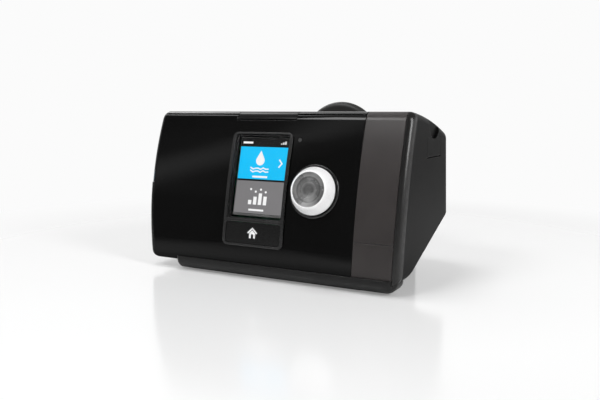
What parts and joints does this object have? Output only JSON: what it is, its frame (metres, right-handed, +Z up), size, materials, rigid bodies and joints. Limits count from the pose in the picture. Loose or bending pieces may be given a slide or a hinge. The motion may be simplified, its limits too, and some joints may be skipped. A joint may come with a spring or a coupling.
{
  "type": "positive airway pressure machine",
  "caption": "Bedside positive airway pressure machine with a screen, a turn-and-press dial, a slide-out heated water tub and a round outlet hood.",
  "frame": {"origin": "middle of the outline on the table", "axes": "+X to the right of someone who faces the screen, +Y to the back, +Z up"},
  "size_m": [0.2016, 0.1533, 0.1211],
  "materials": {
    "gloss_black": "polished",
    "warm_grey": "fine matt",
    "side_grey": "satin",
    "case_grey": "satin",
    "bezel_black": "satin",
    "window_clear": "clear",
    "display": "backlit",
    "carrier": "matt",
    "board_green": "solder mask",
    "switch_black": "matt",
    "button_black": "satin",
    "dial_white": "satin",
    "dial_face": "spun",
    "dial_ring": "satin",
    "sensor_lens": "tinted",
    "encoder_metal": "plain",
    "port_grey": "satin",
    "dock_grey": "matt",
    "heater_metal": "brushed",
    "insulator": "felted",
    "spring_steel": "bright",
    "tub_smoke": "smoky",
    "tub_black": "polished",
    "silicone": "soft",
    "blower_white": "satin",
    "motor_metal": "plain",
    "rotor_iron": "dark",
    "foam": "open cell",
    "can_blue": "sleeved",
    "radio_can": "tinned",
    "card_black": "matt",
    "socket_metal": "tinned",
    "inlet_black": "matt",
    "filter_white": "pleated",
    "foot_rubber": "matt",
    "screw_steel": "blackened"
  },
  "bodies": {
    "machine": {"front_fascia": "gloss_black", "front_trim_upper": "warm_grey", "front_trim_lower": "warm_grey", "upper_case": "case_grey", "lower_case": "case_grey", "rubber_feet": "foot_rubber", "case_screws": "screw_steel", "side_cover": "side_grey", "screen_bezel": "bezel_black", "screen_window": "window_clear", "display_panel": "display", "display_carrier": "carrier", "light_sensor_window": "sensor_lens", "interface_board": "board_green", "home_switch": "switch_black", "start_switch": "switch_black", "dial_ring": "dial_ring", "encoder_body": "encoder_metal", "outlet_port": "port_grey", "outlet_surround": "case_grey", "dock_liner": "dock_grey", "heater_plate": "heater_metal", "heater_insulator": "insulator", "heater_springs": "spring_steel", "feed_seal": "silicone", "return_seal": "silicone", "scroll_base": "blower_white", "scroll_cover": "blower_white", "motor_can": "motor_metal", "motor_cradle": "silicone", "silencer_foam": "foam", "flow_sensor": "switch_black", "main_board": "board_green", "storage_capacitors": "can_blue", "buzzer": "switch_black", "radio_module": "radio_can", "memory_card": "card_black", "card_socket": "socket_metal", "power_socket": "inlet_black", "clip_pin": "spring_steel", "filter_tray": "inlet_black", "air_filter": "filter_white"},
    "start_button": {"start_stop_button": "button_black"},
    "home_key": {"home_button": "button_black"},
    "dial_plunger": {"encoder_plunger": "switch_black"},
    "dial_knob": {"dial": "dial_white", "dial_cap": "dial_face", "dial_shaft": "encoder_metal"},
    "water_tub": {"tub_base": "tub_black", "tub_plate": "heater_metal", "tub_seal": "silicone", "tub_lid": "tub_black", "air_baffle": "tub_smoke"},
    "card_flap": {"card_door": "side_grey"},
    "filter_flap": {"filter_cover": "case_grey"},
    "plug_clip": {"retention_clip": "inlet_black"},
    "fan": {"impeller": "blower_white", "rotor_shaft": "spring_steel", "rotor": "rotor_iron"}
  },
  "joints": [
    {"name": "start_button_press", "type": "slide", "parent": "machine", "child": "start_button", "axis": [0, 0, -1], "range_m": [0, 0.0005], "stiffness_N_per_m": 400, "springref_m": -0.0005},
    {"name": "home_button_press", "type": "slide", "parent": "machine", "child": "home_key", "axis": [0, 0.9712, -0.2382], "range_m": [0, 0.0008], "stiffness_N_per_m": 400, "springref_m": -0.0005},
    {"name": "dial_press", "type": "slide", "parent": "machine", "child": "dial_plunger", "axis": [0, 0.9712, -0.2382], "range_m": [0, 0.0006], "stiffness_N_per_m": 900, "springref_m": -0.0005},
    {"name": "dial_turn", "type": "hinge", "parent": "dial_plunger", "child": "dial_knob", "pos_m": [0.0382, -0.06493, 0.0619], "axis": [0, -0.9712, 0.2382], "continuous": true},
    {"name": "tub_slide", "type": "slide", "parent": "machine", "child": "water_tub", "axis": [-1, 0, 0], "range_m": [0, 0.112]},
    {"name": "card_door_hinge", "type": "hinge", "parent": "machine", "child": "card_flap", "pos_m": [0.0998, -0.0085, 0.0842], "axis": [0, 1, 0], "range_deg": [0, 95]},
    {"name": "filter_cover_hinge", "type": "hinge", "parent": "machine", "child": "filter_flap", "pos_m": [0.05014, 0.04252, 0.06799], "axis": [0, -0.0995, 0.995], "range_deg": [0, 95]},
    {"name": "retention_clip_hinge", "type": "hinge", "parent": "machine", "child": "plug_clip", "pos_m": [-0.04164, 0.04971, 0.03868], "axis": [0.9984, 0.0561, 0.0056], "range_deg": [0, 100]},
    {"name": "impeller_spin", "type": "hinge", "parent": "machine", "child": "fan", "pos_m": [0.0525, -0.013, 0.065], "axis": [0, 0, 1], "continuous": true}
  ]
}
